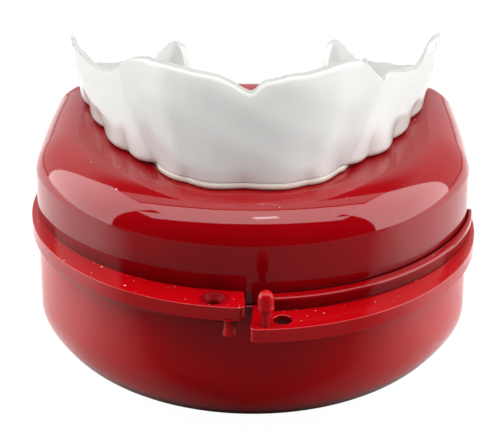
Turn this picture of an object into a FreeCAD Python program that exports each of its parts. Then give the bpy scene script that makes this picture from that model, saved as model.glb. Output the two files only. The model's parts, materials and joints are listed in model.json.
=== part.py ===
"""Mouthguard with its hinged case, as a parametric document.

A D-shaped case of two shells hinged along the straight back.  The base carries a half flange with a
snap stud and an eyelet on the +X side, the lid carries the matching half flange on the -X side, and
each half has a raised rim that laps outside the wall of the other.  A laminated mouthguard rests on
the lid with its bite face down.

Frame: +Z up, -Y is the round front, +Y the hinge side.  The origin is on the underside of the base,
in the middle of the widest line of the case.
"""
import FreeCAD, Part
import math
import os
import Sketcher

V = FreeCAD.Vector
AXIS_Y, AXIS_Z = V(0, 1, 0), V(0, 0, 1)

# driving sizes in millimetres, written into the spreadsheet one row each
SIZES = {
    # case outline: an oval front, nearly straight flanks and a straight back with rounded corners
    "half_width": 40.0,
    "front_depth": 35.0,
    "side_round": 22.0,
    "flank_round": 220.0,
    "back_depth": 29.0,
    "back_corner": 8.0,
    # shells
    "parting_height": 27.5,
    "case_height": 45.0,
    "wall": 2.0,
    "seam_gap": 0.3,
    "lid_round": 6.5,
    "base_front_round": 13.0,
    "base_back_round": 6.5,
    # flanges, one per half, each with a straight end beside the centre plane
    "flange_thick": 2.7,
    "flange_side_reach": 1.0,
    "lid_flange_reach": 6.1,
    "base_flange_reach": 8.8,
    "flange_end_gap": 0.45,
    "flange_tail": 6.0,
    "flange_corner": 1.4,
    # lapping rims
    "rim_height": 2.5,
    "rim_reach": 2.3,
    "rim_side_reach": 0.85,
    "rim_clearance": 0.25,
    "rim_start": 4.6,
    "rim_tail": 0.0,
    # eyelets and snap studs, measured from the centre plane and from the root of the flange
    "eyelet_radius": 1.55,
    "eyelet_across": 5.9,
    "eyelet_out": 2.7,
    "eyelet_chamfer": 0.6,
    "stud_across": 3.1,
    "stud_out": 4.8,
    "stud_stem_radius": 0.85,
    "stud_stem_length": 2.7,
    "stud_head_radius": 1.47,
    "stud_head_length": 4.0,
    "stub_root_radius": 1.0,
    "stub_tip_radius": 1.3,
    "stub_length": 3.1,
    # hinge along the back
    "hinge_offset": 3.2,
    "hinge_spacing": 20.0,
    "knuckle_radius": 2.5,
    "knuckle_width": 4.0,
    "knuckle_gap": 0.3,
    "ear_leg": 1.6,
    "pin_radius": 1.0,
    "pin_clearance": 0.06,
    # mouthguard: a dental arch with a trough, a labial panel and a bite pad
    "rest_gap": 0.05,
    "arch_front": 25.0,
    "arch_depth": 47.0,
    "arch_half_width": 34.0,
    "arch_power": 3.1,
    "arch_width_front": 10.5,
    "arch_width_rear": 13.5,
    "pad_thick": 1.4,
    "tray_floor": 2.6,
    "tray_wall": 2.0,
    "tray_height_front": 21.5,
    "tray_height_rear": 10.5,
    "panel_thick": 1.0,
    "panel_span": 0.62,
    "frenum_depth": 3.0,
    "frenum_half_width": 3.6,
}


def make_sheet(doc):
    """Write the driving sizes into a spreadsheet, one aliased cell per row."""
    sheet = doc.addObject("Spreadsheet::Sheet", "Sizes")
    for row, (alias, value) in enumerate(SIZES.items(), 1):
        sheet.set("A%d" % row, alias.replace("_", " "))
        sheet.set("B%d" % row, str(value))
        sheet.setAlias("B%d" % row, alias)
    doc.recompute()
    return sheet


DOC = FreeCAD.newDocument("MouthguardCase")
SHEET = make_sheet(DOC)


def size(alias):
    """Value of one driving size."""
    return float(SHEET.get(alias))


def bind(thing, **expressions):
    """Bind properties to expressions; double underscores stand for dots in a property path."""
    for path, text in expressions.items():
        for alias in sorted(SIZES, key=len, reverse=True):
            text = text.replace("$" + alias, "Sizes." + alias)
        thing.setExpression(path.replace("__", "."), text)


def place(thing, x="0", y="0", z="0"):
    """Bind the position of a sub-part to expressions."""
    bind(thing, Placement__Base__x=x, Placement__Base__y=y, Placement__Base__z=z)


def labelled(thing, node):
    """Give a finished sub-part the name of its node."""
    thing.Label = node
    return thing


# ---------------------------------------------------------------- case outline

def oval_radius(half_width, side_round, depth):
    """Radius of the front arc that meets two side arcs and reaches the given depth."""
    return ((half_width - side_round) ** 2 + depth ** 2 - side_round ** 2) / (2 * (depth - side_round))


def outline_arcs(inset):
    """Arcs of the right half of the outline, moved inward by inset, as (centre, radius, start, end)."""
    a, depth, side = size("half_width"), size("front_depth"), size("side_round")
    front = oval_radius(a, side, depth)
    flank, corner = size("flank_round"), size("back_corner")
    front_centre, side_centre, flank_centre = V(0, front - depth, 0), V(a - side, 0, 0), V(a - flank, 0, 0)
    corner_y = size("back_depth") - corner
    corner_centre = V(a - flank + math.sqrt((flank - corner) ** 2 - corner_y ** 2), corner_y, 0)
    meet = math.atan2(-front_centre.y, side_centre.x)
    turn = math.atan2(corner_y, corner_centre.x - flank_centre.x)
    return [(front_centre, front - inset, -math.pi / 2, meet),
            (side_centre, side - inset, meet, 0.0),
            (flank_centre, flank - inset, 0.0, turn),
            (corner_centre, corner - inset, turn, math.pi / 2)]


def mirrored(centre, radius, start, end):
    """The same arc on the -X side, still running counter-clockwise."""
    return V(-centre.x, centre.y, 0), radius, math.pi - end, math.pi - start


def outline_sketch(name, inset, inset_text, height_text, forward_text="0"):
    """Closed case outline as a constrained sketch at the given height."""
    sketch = DOC.addObject("Sketcher::SketchObject", name)
    place(sketch, y="-(%s)" % forward_text, z=height_text)
    right = outline_arcs(inset)
    front = right[0]
    arcs = [(front[0], front[1], -math.pi - front[3], front[3])] + right[1:]
    left = [mirrored(*arc) for arc in reversed(right[1:])]
    circle = lambda arc: Part.ArcOfCircle(Part.Circle(arc[0], AXIS_Z, arc[1]), arc[2], arc[3])
    corner = right[3][0]
    back_y = corner.y + right[3][1]
    back = Part.LineSegment(V(corner.x, back_y, 0), V(-corner.x, back_y, 0))
    pieces = [circle(arc) for arc in arcs] + [back] + [circle(arc) for arc in left]
    for piece in pieces:
        sketch.addGeometry(piece)
    count = len(pieces)
    for index in range(count):
        sketch.addConstraint(Sketcher.Constraint("Tangent", index, 2, (index + 1) % count, 1))
    constrain_outline(sketch, inset_text)
    return sketch


def constrain_outline(sketch, inset):
    """Drive the radii, the width and the back line of an outline sketch from the sheet."""
    front, side, flank, corner, back, corner_l, flank_l, side_l = range(8)
    front_text = ("((${a} - ${s})^2 + ${d}^2 - ${s}^2) / (2 * (${d} - ${s}))"
                  .replace("${a}", "$half_width").replace("${s}", "$side_round")
                  .replace("${d}", "$front_depth"))
    radii = {front: front_text, side: "$side_round", side_l: "$side_round", flank: "$flank_round",
             flank_l: "$flank_round", corner: "$back_corner", corner_l: "$back_corner"}
    for index, text in radii.items():
        number = sketch.addConstraint(
            Sketcher.Constraint("Radius", index, sketch.Geometry[index].Radius))
        bind(sketch, **{"Constraints[%d]" % number: text + " - " + inset})
    for index in (side, flank, side_l, flank_l):
        sketch.addConstraint(Sketcher.Constraint("PointOnObject", index, 3, -1))
    for index, sign in ((side, 1), (side_l, -1)):
        across = abs(sketch.Geometry[index].Center.x)
        ends = (-1, 1, index, 3) if sign > 0 else (index, 3, -1, 1)
        number = sketch.addConstraint(Sketcher.Constraint("DistanceX", *ends, across))
        bind(sketch, **{"Constraints[%d]" % number: "$half_width - $side_round"})
    sketch.addConstraint(Sketcher.Constraint("Horizontal", back))
    number = sketch.addConstraint(
        Sketcher.Constraint("DistanceY", -1, 1, back, 1, sketch.Geometry[back].StartPoint.y))
    bind(sketch, **{"Constraints[%d]" % number: "$back_depth - " + inset})


def rounded_block(name, sketch, length_text, rounded_height, front_round, back_round):
    """Extrude an outline upward and round its edge loop at one height, more in front than behind."""
    block = DOC.addObject("Part::Extrusion", name + "_block")
    block.Base = sketch
    block.DirMode = "Custom"
    block.Dir = AXIS_Z
    block.Solid = True
    bind(block, LengthFwd=length_text)
    DOC.recompute()
    rounding = DOC.addObject("Part::Fillet", name)
    rounding.Base = block
    radius = lambda vertex: front_round if vertex.Point.y < 0.01 else back_round
    rounding.Edges = [(number, radius(edge.Vertexes[0]), radius(edge.Vertexes[-1]))
                      for number, edge in enumerate(block.Shape.Edges, 1)
                      if abs(edge.BoundBox.ZMin - rounded_height) < 0.01
                      and abs(edge.BoundBox.ZMax - rounded_height) < 0.01]
    return rounding


def make_cut(node, base, tool):
    """Boolean difference of two shapes."""
    cut = DOC.addObject("Part::Cut", node)
    cut.Base, cut.Tool = base, tool
    return cut


def base_shell():
    """Open box of the base: flat floor, large round below in front, open at the seam."""
    wall = size("wall")
    outer_line = outline_sketch("base_outline", 0.0, "0", "0")
    outer = rounded_block("base_outer", outer_line, "$parting_height - $seam_gap / 2", 0.0,
                          size("base_front_round"), size("base_back_round"))
    inner_line = outline_sketch("base_inner_outline", wall, "$wall", "$wall")
    inner = rounded_block("base_inner", inner_line, "$parting_height", wall,
                          size("base_front_round") - wall, size("base_back_round") - wall)
    return labelled(make_cut("base_shell_cut", outer, inner), "base_shell")


def lid_shell():
    """Cap of the lid: flat top with a broad rounded edge, open at the seam."""
    wall, top = size("wall"), size("case_height")
    seam = "$parting_height + $seam_gap / 2"
    outer_line = outline_sketch("lid_outline", 0.0, "0", seam)
    outer = rounded_block("lid_outer", outer_line, "$case_height - $parting_height - $seam_gap / 2",
                          top, size("lid_round"), size("lid_round"))
    inner_line = outline_sketch("lid_inner_outline", wall, "$wall", "$parting_height - $wall")
    inner = rounded_block("lid_inner", inner_line, "$case_height - $parting_height",
                          top - wall, size("lid_round") - wall, size("lid_round") - wall)
    return labelled(make_cut("lid_shell_cut", outer, inner), "lid_shell")


# ---------------------------------------------------------------- flanges, rims and snap studs

def case_core(name, inset, inset_text, forward_text="0"):
    """Solid of the case outline, as tall as the case; the bands outside the wall are cut with it."""
    core = DOC.addObject("Part::Extrusion", name)
    core.Base = outline_sketch(name + "_outline", inset, inset_text, "0", forward_text)
    core.DirMode = "Custom"
    core.Dir = AXIS_Z
    core.Solid = True
    bind(core, LengthFwd="$case_height")
    return core


def outer_disc(name, low_text, thick_text, front_text, side_text):
    """Disc on the Y axis through the front and side points of a band's outer edge."""
    disc = DOC.addObject("Part::Cylinder", name)
    radius = "((%s)^2 + (%s)^2) / (2 * (%s))" % (side_text, front_text, front_text)
    bind(disc, Radius=radius, Height=thick_text)
    place(disc, y="%s - (%s)" % (radius, front_text), z=low_text)
    return disc


def side_box(name, side, start_text, tail_text, low_text, thick_text):
    """Box that keeps one side of the case, from start_text off the centre plane to the band's tail."""
    box = DOC.addObject("Part::Box", name)
    reach = "2 * $half_width"
    bind(box, Length=reach, Width=reach + " + " + tail_text, Height=thick_text)
    place(box, x=start_text if side > 0 else "-%s - (%s)" % (start_text, reach),
          y="-(%s)" % reach, z=low_text)
    return box


def band(name, side, outer, core, low_text, thick_text, start_text, tail_text):
    """Crescent between an outer solid and the core on one side of the case."""
    box = side_box(name + "_side", side, start_text, tail_text, low_text, thick_text)
    half = DOC.addObject("Part::Common", name + "_half")
    half.Base, half.Tool = outer, box
    return make_cut(name + "_band", half, core)


def end_edge(shape, side, thick):
    """Number of the upright edge at the outer corner of a flange's straight end."""
    upright = [(edge.CenterOfMass.y, number) for number, edge in enumerate(shape.Edges, 1)
               if abs(edge.BoundBox.ZLength - thick) < 0.01 and edge.BoundBox.XLength < 0.01
               and side * edge.CenterOfMass.x < 2 * size("flange_end_gap")]
    return min(upright)[1]


def flange(node, side, core, low_text, reach_alias, out_text, corner_type):
    """Half flange with its outer end corner eased and a round eyelet beside the centre plane."""
    disc = outer_disc(node + "_disc", low_text, "$flange_thick", "$front_depth + $" + reach_alias,
                      "$half_width + $flange_side_reach")
    plate = band(node, side, disc, core, low_text, "$flange_thick", "$flange_end_gap", "$flange_tail")
    DOC.recompute()
    eased = DOC.addObject(corner_type, node + "_eased")
    eased.Base = plate
    corner = size("flange_corner")
    eased.Edges = [(end_edge(plate.Shape, side, size("flange_thick")), corner, corner)]
    hole = DOC.addObject("Part::Cylinder", node + "_eyelet")
    bind(hole, Radius="$eyelet_radius", Height="3 * $flange_thick")
    place(hole, x="%s$eyelet_across" % ("" if side > 0 else "-"),
          y="-($front_depth + %s)" % out_text, z=low_text + " - $flange_thick")
    return make_cut(node + "_drilled", eased, hole)


def base_thumb_flange(core):
    """Half flange of the base, under the parting plane on the +X side."""
    drilled = flange("base_thumb_flange", 1, core, "$parting_height - $flange_thick",
                     "base_flange_reach", "$rim_reach + $eyelet_out", "Part::Chamfer")
    return labelled(drilled, "base_thumb_flange")


def lid_thumb_flange(core):
    """Half flange of the lid, over the parting plane on the -X side, with a dished eyelet."""
    drilled = flange("lid_thumb_flange", -1, core, "$parting_height", "lid_flange_reach",
                     "$eyelet_out", "Part::Fillet")
    dish = DOC.addObject("Part::Cone", "lid_eyelet_dish")
    bind(dish, Radius1="$eyelet_radius", Radius2="$eyelet_radius + 1.5 * $eyelet_chamfer",
         Height="$eyelet_chamfer")
    place(dish, x="-$eyelet_across", y="-($front_depth + $eyelet_out)",
          z="$parting_height + $flange_thick - $eyelet_chamfer")
    return labelled(make_cut("lid_thumb_flange_dished", drilled, dish), "lid_thumb_flange")


def rim(node, side, clear_core, low_text):
    """Raised lip that stands off the flange and laps outside the wall of the other half."""
    outer = case_core(node + "_outer", -size("rim_side_reach"), "(-$rim_side_reach)",
                      "$rim_reach - $rim_side_reach")
    lip = band(node, side, outer, clear_core, low_text, "$rim_height", "$rim_start", "$rim_tail")
    return labelled(lip, node)


def body_sketch(body, name, plane):
    """Sketch on one of the body's own origin planes."""
    sketch = body.newObject("Sketcher::SketchObject", name)
    origin_plane = [part for part in body.Origin.OriginFeatures if part.Role == plane][0]
    sketch.AttachmentSupport = [(origin_plane, "")]
    sketch.MapMode = "FlatFace"
    return sketch


def add_profile(sketch, points, arcs=()):
    """Closed profile through the points; arcs maps a side's index to a point that its arc passes."""
    count = len(points)
    for index, start in enumerate(points):
        end = points[(index + 1) % count]
        through = dict(arcs).get(index)
        if through:
            sketch.addGeometry(Part.Arc(V(*start, 0), V(*through, 0), V(*end, 0)))
        else:
            sketch.addGeometry(Part.LineSegment(V(*start, 0), V(*end, 0)))


def turned_body(node, points, arcs=()):
    """Round piece turned about its own upright axis from a half profile."""
    body = DOC.addObject("PartDesign::Body", node + "_body")
    sketch = body_sketch(body, node + "_profile", "XZ_Plane")
    add_profile(sketch, points, arcs)
    turned = body.newObject("PartDesign::Revolution", node + "_turned")
    turned.Profile = sketch
    turned.ReferenceAxis = (sketch, ["V_Axis"])
    turned.Angle = 360
    return labelled(body, node)


def base_snap_stud():
    """Bullet-headed stud standing on the flange of the base."""
    stem, length = size("stud_stem_radius"), size("stud_stem_length")
    head, head_length = size("stud_head_radius"), size("stud_head_length")
    top = length + head_length
    shoulder = top - head
    middle = (head * math.cos(math.pi / 4), shoulder + head * math.sin(math.pi / 4))
    points = [(0, 0), (stem, 0), (stem, length), (head, length), (head, shoulder), (0, top)]
    stud = turned_body("base_snap_stud", points, {4: middle})
    place(stud, x="$stud_across", y="-($front_depth + $rim_reach + $stud_out)", z="$parting_height")
    return stud


def lid_snap_stud():
    """Short flared stud hanging under the flange of the lid."""
    root, tip, length = size("stub_root_radius"), size("stub_tip_radius"), size("stub_length")
    points = [(0, 0), (0, -length), (tip, -length), (tip, -length * 0.7), (root, 0)]
    stud = turned_body("lid_snap_stud", points)
    place(stud, x="-$stud_across", y="-($front_depth + $stud_out)", z="$parting_height")
    return stud


# ---------------------------------------------------------------- hinge

def hinge_ear(node, x_text, up, hole_text):
    """Knuckle with a leg to the back wall; up is 1 on the lid and -1 on the base."""
    offset, radius, leg = size("hinge_offset"), size("knuckle_radius"), size("ear_leg")
    body = DOC.addObject("PartDesign::Body", node + "_body")
    sketch = body_sketch(body, node + "_profile", "YZ_Plane")
    far = up * (radius + leg)
    points = [(-offset, 0), (-radius, 0), (0, up * radius), (-offset, far)]
    around = radius * math.cos(math.pi / 4)
    add_profile(sketch, points, {1: (around, -up * around)})
    number = sketch.addGeometry(Part.Circle(V(0, 0, 0), AXIS_Z, size("pin_radius")))
    sketch.addConstraint(Sketcher.Constraint("Coincident", number, 3, -1, 1))
    hole = sketch.addConstraint(Sketcher.Constraint("Radius", number, size("pin_radius")))
    bind(sketch, **{"Constraints[%d]" % hole: hole_text})
    pad = body.newObject("PartDesign::Pad", node + "_pad")
    pad.Profile = sketch
    pad.Midplane = True
    bind(pad, Length="$knuckle_width")
    place(body, x=x_text, y="$back_depth + $hinge_offset", z="$parting_height")
    return labelled(body, node)


def hinge_pin(node, x_text):
    """Pin through the three knuckles of one hinge."""
    pin = DOC.addObject("Part::Cylinder", node + "_rod")
    length = "3 * $knuckle_width + 2 * $knuckle_gap"
    bind(pin, Radius="$pin_radius", Height=length)
    pin.Placement.Rotation = FreeCAD.Rotation(AXIS_Y, 90)
    place(pin, x="%s - (%s) / 2" % (x_text, length), y="$back_depth + $hinge_offset",
          z="$parting_height")
    return labelled(pin, node)


def hinges():
    """Two hinges: each has a base ear on both sides of a lid knuckle, and a pin."""
    pieces = []
    for side, sign in (("left", "-"), ("right", "")):
        middle = sign + "$hinge_spacing"
        pitch = "($knuckle_width + $knuckle_gap)"
        pieces.append(hinge_ear("base_ear_%s_outer" % side, "%s %s %s" % (middle, sign or "+", pitch),
                                -1, "$pin_radius"))
        pieces.append(hinge_ear("base_ear_%s_inner" % side,
                                "%s %s %s" % (middle, "+" if sign else "-", pitch),
                                -1, "$pin_radius"))
        pieces.append(hinge_ear("lid_knuckle_%s" % side, middle, 1, "$pin_radius + $pin_clearance"))
        pieces.append(hinge_pin("hinge_pin_%s" % side, middle))
    return pieces


# ---------------------------------------------------------------- mouthguard

ARCH_STEPS = 12  # points on each half of a curve along the arch


def arch_point(u, inset):
    """Point of the dental arch at u from -1 to 1, moved inward along the arch's normal."""
    reach, depth, power = size("arch_half_width"), size("arch_depth"), size("arch_power")
    x, y = reach * u, -size("arch_front") + depth * abs(u) ** power
    slope = depth * power * abs(u) ** (power - 1) * math.copysign(1, u)
    inward = V(-slope, reach, 0).normalize()
    return V(x, y, 0) + inward * inset


def arch_width(u):
    """Width of the guard across its trough, growing from the front teeth to the molars."""
    front, rear = size("arch_width_front"), size("arch_width_rear")
    return front + (rear - front) * abs(u)


def arch_curve(inset, span):
    """Smooth curve along the arch between u = -span and u = span; inset is a function of u."""
    steps = [span * step / ARCH_STEPS for step in range(-ARCH_STEPS, ARCH_STEPS + 1)]
    curve = Part.BSplineCurve()
    curve.interpolate([arch_point(u, inset(u)) for u in steps])
    return curve.toShape()


def arch_prism(name, outer, inner, span, low, height):
    """Upright block between two curves of the arch, closed straight across at both ends."""
    front, back = arch_curve(outer, span), arch_curve(inner, span)
    ends = [Part.makeLine(front.valueAt(front.LastParameter), back.valueAt(back.LastParameter)),
            Part.makeLine(back.valueAt(back.FirstParameter), front.valueAt(front.FirstParameter))]
    face = Part.Face(Part.Wire(Part.__sortEdges__([front, back] + ends)))
    face.translate(V(0, 0, low))
    block = DOC.addObject("Part::Feature", name)
    block.Shape = face.extrude(V(0, 0, height))
    return block


def rest_height():
    """Height of the mouthguard's lowest face."""
    return size("case_height") + size("rest_gap")


def slope_tool(name):
    """Block above the sloping top edge of the guard, high in front and low behind."""
    front_y, rear_y = -size("arch_front"), size("arch_depth") - size("arch_front")
    low = rest_height()
    high_z, low_z = low + size("tray_height_front"), low + size("tray_height_rear")
    margin = size("arch_width_rear")
    rise = (high_z - low_z) / (rear_y - front_y)
    corners = [(front_y - margin, high_z + rise * margin), (rear_y + margin, low_z - rise * margin),
               (rear_y + margin, high_z + margin), (front_y - margin, high_z + margin)]
    wire = Part.makePolygon([V(-2 * size("arch_half_width"), y, z) for y, z in corners + corners[:1]])
    tool = DOC.addObject("Part::Feature", name)
    tool.Shape = Part.Face(wire).extrude(V(4 * size("arch_half_width"), 0, 0))
    return tool


def frenum_tool(name):
    """Wedge that leaves the notch in the middle of the front edge."""
    half, depth = size("frenum_half_width"), size("frenum_depth")
    top = rest_height() + size("tray_height_front")
    front_y = -size("arch_front") - 3 * size("panel_thick")
    corners = [(-2 * half, top + depth), (0, top - depth), (2 * half, top + depth)]
    wire = Part.makePolygon([V(x, front_y, z) for x, z in corners + corners[:1]])
    tool = DOC.addObject("Part::Feature", name)
    tool.Shape = Part.Face(wire).extrude(V(0, 2 * size("tray_wall") + 3 * size("panel_thick"), 0))
    return tool


def mouthguard_bite_pad():
    """Soft sole under the whole arch, the face that the lower teeth bite on."""
    return labelled(arch_prism("bite_pad", lambda u: 0.3, lambda u: arch_width(u) - 0.3, 1.0,
                               rest_height(), size("pad_thick")), "mouthguard_bite_pad")


def mouthguard_tray():
    """Trough for the upper teeth: a floor, an outer wall, an inner wall and low closed ends."""
    wall = size("tray_wall")
    low = rest_height() + size("pad_thick")
    block = arch_prism("tray_block", lambda u: 0.0, arch_width, 1.0, low, size("tray_height_front"))
    trough = arch_prism("tray_trough", lambda u: wall, lambda u: arch_width(u) - wall,
                        1.0 - wall / size("arch_depth"), low + size("tray_floor"),
                        2 * size("tray_height_front"))
    hollow = make_cut("tray_hollow", block, trough)
    trimmed = make_cut("tray_trimmed", hollow, slope_tool("tray_slope"))
    return labelled(make_cut("tray_notched", trimmed, frenum_tool("tray_frenum")), "mouthguard_tray")


def mouthguard_front_panel():
    """Opaque layer over the outside of the front teeth."""
    thick = size("panel_thick")
    block = arch_prism("panel_block", lambda u: -thick, lambda u: 0.0, size("panel_span"),
                       rest_height() + size("pad_thick"), size("tray_height_front"))
    trimmed = make_cut("panel_trimmed", block, slope_tool("panel_slope"))
    return labelled(make_cut("panel_notched", trimmed, frenum_tool("panel_frenum")),
                    "mouthguard_front_panel")


# ---------------------------------------------------------------- assembly

def check_document():
    """Stop if any object of the document failed to build."""
    for thing in DOC.Objects:
        if {"Invalid", "Error"} & set(thing.State):
            raise RuntimeError("%s failed: %s" % (thing.Name, thing.State))


def write_parts(pieces):
    """Check each sub-part and write it to a STEP file named after its node."""
    os.makedirs("parts", exist_ok=True)
    for piece in pieces:
        shape = piece.Shape
        if shape.isNull() or not shape.isValid() or len(shape.Solids) != 1:
            raise RuntimeError("%s is not one valid solid" % piece.Label)
        shape.exportStep("parts/%s.step" % piece.Label)
        print("%-24s %9.1f mm3" % (piece.Label, shape.Volume))


def build():
    """Make every sub-part and write the files."""
    core = case_core("case_core", 0.0, "0")
    clear_core = case_core("clear_core", -size("rim_clearance"), "(-$rim_clearance)")
    pieces = [base_shell(), lid_shell(), base_thumb_flange(core), lid_thumb_flange(core),
              rim("base_rim", 1, clear_core, "$parting_height"),
              rim("lid_rim", -1, clear_core, "$parting_height - $rim_height"),
              base_snap_stud(), lid_snap_stud()]
    pieces += hinges()
    pieces += [mouthguard_bite_pad(), mouthguard_tray(), mouthguard_front_panel()]
    DOC.recompute()
    check_document()
    write_parts(pieces)


build()
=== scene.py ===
"""A mouthguard resting on its closed red storage case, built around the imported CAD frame.

Lengths in this script are millimetres until a mesh is made, and metres in Blender.
"""
import json
import math

import bmesh
import bpy
import numpy as np
from mathutils import Matrix, Vector, noise


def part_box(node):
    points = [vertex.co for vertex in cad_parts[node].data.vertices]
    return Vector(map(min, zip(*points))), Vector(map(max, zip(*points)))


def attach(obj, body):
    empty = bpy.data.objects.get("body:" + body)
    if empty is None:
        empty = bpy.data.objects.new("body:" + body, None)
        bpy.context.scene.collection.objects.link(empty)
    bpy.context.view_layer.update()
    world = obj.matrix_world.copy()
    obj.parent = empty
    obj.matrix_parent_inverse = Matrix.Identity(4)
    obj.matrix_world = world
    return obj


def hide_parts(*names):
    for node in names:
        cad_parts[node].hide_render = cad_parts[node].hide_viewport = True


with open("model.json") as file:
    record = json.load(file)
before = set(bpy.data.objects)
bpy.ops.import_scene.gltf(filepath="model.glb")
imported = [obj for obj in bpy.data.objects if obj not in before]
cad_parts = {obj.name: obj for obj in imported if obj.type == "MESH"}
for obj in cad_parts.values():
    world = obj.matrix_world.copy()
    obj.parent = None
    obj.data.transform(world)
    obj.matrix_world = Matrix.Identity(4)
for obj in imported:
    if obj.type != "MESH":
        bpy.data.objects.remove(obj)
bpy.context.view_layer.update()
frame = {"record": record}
MM = 0.001


def box_mm(node):
    """Lowest and highest corners of a CAD node in millimetres."""
    low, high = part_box(node)
    return np.array(low) / MM, np.array(high) / MM


def mount_mm(name):
    """Place of one of the record's mounts in plan, in millimetres."""
    spot = next(mount["pos_m"] for mount in frame["record"]["mounts"] if mount["name"] == name)
    return spot[0] / MM, spot[1] / MM


# ---------------------------------------------------------------- sizes from the frame

BASE_HIGH = box_mm("base_shell")[1]
LID_LOW, LID_HIGH = box_mm("lid_shell")
HALF, FRONT, BACK = BASE_HIGH[0], -LID_LOW[1], BASE_HIGH[1]
BASE_TOP, LID_BOTTOM, TOP = BASE_HIGH[2], LID_LOW[2], LID_HIGH[2]
REST = box_mm("mouthguard_bite_pad")[0][2]
HINGE_Y, HINGE_Z = (sum(box_mm("hinge_pin_left")) / 2)[1:]

# ---------------------------------------------------------------- camera

AIM = Vector((0, 0, 27)) * MM
DISTANCE = 400 * MM
ELEVATION, YAW = math.radians(26), -0.02
SENSOR, LENS = 36.0, 153.72


def make_camera():
    """Long lens in front of the case, looking down on it."""
    data = bpy.data.cameras.new("camera")
    data.sensor_width, data.lens = SENSOR, LENS
    data.shift_x, data.shift_y = -0.005, 0.003
    data.clip_start, data.clip_end = 0.01, 20
    camera = bpy.data.objects.new("camera", data)
    bpy.context.collection.objects.link(camera)
    forward = Vector((math.sin(YAW) * math.cos(ELEVATION), math.cos(YAW) * math.cos(ELEVATION),
                      -math.sin(ELEVATION)))
    camera.location = AIM - forward * DISTANCE
    right = Vector((math.cos(YAW), -math.sin(YAW), 0))
    up = right.cross(forward)
    camera.rotation_euler = Matrix((right, up, -forward)).transposed().to_euler()
    bpy.context.scene.camera = camera


make_camera()

# ---------------------------------------------------------------- mesh tools


def smooth(t):
    """Smooth step of t from 0 to 1."""
    t = np.clip(t, 0.0, 1.0)
    return t * t * (3 - 2 * t)


def through(x, knots):
    """Smooth monotone-ish curve through (x, value) knots, read at x."""
    xs, ys = np.array(knots, float).T
    slopes = np.gradient(ys, xs)
    x = np.clip(np.asarray(x, float), xs[0], xs[-1])
    i = np.clip(np.searchsorted(xs, x) - 1, 0, len(xs) - 2)
    h = xs[i + 1] - xs[i]
    t = (x - xs[i]) / h
    return ((2 * t**3 - 3 * t**2 + 1) * ys[i] + (t**3 - 2 * t**2 + t) * h * slopes[i]
            + (3 * t**2 - 2 * t**3) * ys[i + 1] + (t**3 - t**2) * h * slopes[i + 1])


def make_object(name, verts, faces, sharp):
    """Smooth-shaded mesh object from millimetre vertices, with outward normals."""
    mesh = bpy.data.meshes.new(name)
    mesh.from_pydata([tuple(float(c) * MM for c in v) for v in verts], [], faces)
    return finish_mesh(name, mesh, sharp)


def finish_mesh(name, mesh, sharp):
    """Weld, orient and smooth a mesh, and put it in the scene."""
    work = bmesh.new()
    work.from_mesh(mesh)
    bmesh.ops.remove_doubles(work, verts=work.verts, dist=0.0004 * MM)
    bmesh.ops.dissolve_degenerate(work, edges=work.edges, dist=0.0002 * MM)
    bmesh.ops.recalc_face_normals(work, faces=work.faces)
    work.to_mesh(mesh)
    work.free()
    mesh.polygons.foreach_set("use_smooth", [True] * len(mesh.polygons))
    mesh.set_sharp_from_angle(angle=math.radians(sharp))
    thing = bpy.data.objects.new(name, mesh)
    bpy.context.collection.objects.link(thing)
    return thing


def weigh(thing):
    """Keep broad faces flat beside their rounded edges."""
    modifier = thing.modifiers.new("weighted", "WEIGHTED_NORMAL")
    modifier.keep_sharp = True
    modifier.weight = 60
    return thing


def loft(name, rings, sharp, whole=False):
    """Closed surface through equal closed rings; the ends fan out from a point or are whole faces."""
    count = len(rings[0])
    verts = [p for ring in rings for p in ring]
    faces = []
    for r in range(len(rings) - 1):
        for i in range(count):
            j = (i + 1) % count
            faces.append((r * count + i, r * count + j, (r + 1) * count + j, (r + 1) * count + i))
    for ring, start in ((rings[0], 0), (rings[-1], (len(rings) - 1) * count)):
        if whole:
            faces.append(tuple(range(start, start + count)))
            continue
        middle = len(verts)
        verts.append(np.mean(ring, axis=0))
        faces += [(start + i, start + (i + 1) % count, middle) for i in range(count)]
    return make_object(name, verts, faces, sharp)


def circle(count):
    """Angles evenly spaced round a full turn."""
    return np.linspace(0, 2 * math.pi, count, endpoint=False)


def plate(name, outline, holes, low, high, round_edge):
    """Flat plate between two heights with rounded edges, from a plan outline and round holes."""
    data = bpy.data.curves.new(name, "CURVE")
    data.dimensions, data.fill_mode = "2D", "BOTH"
    data.extrude = ((high - low) / 2 - round_edge) * MM
    data.bevel_depth, data.offset, data.bevel_resolution = round_edge * MM, -round_edge * MM, 3
    rings = [outline]
    for x, y, radius in holes:
        rings.append([(x + radius * math.cos(a), y + radius * math.sin(a)) for a in circle(48)])
    for ring in rings:
        spline = data.splines.new("POLY")
        spline.points.add(len(ring) - 1)
        for point, (x, y) in zip(spline.points, ring):
            point.co = (x * MM, y * MM, 0, 1)
        spline.use_cyclic_u = True
    curve = bpy.data.objects.new(name + "_curve", data)
    bpy.context.collection.objects.link(curve)
    bpy.context.view_layer.update()
    graph = bpy.context.evaluated_depsgraph_get()
    mesh = bpy.data.meshes.new_from_object(curve.evaluated_get(graph))
    bpy.data.objects.remove(curve)
    bpy.data.curves.remove(data)
    mesh.name = name
    mesh.transform(Matrix.Translation((0, 0, (low + high) / 2 * MM)))
    return weigh(finish_mesh(name, mesh, 50.0))


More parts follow.
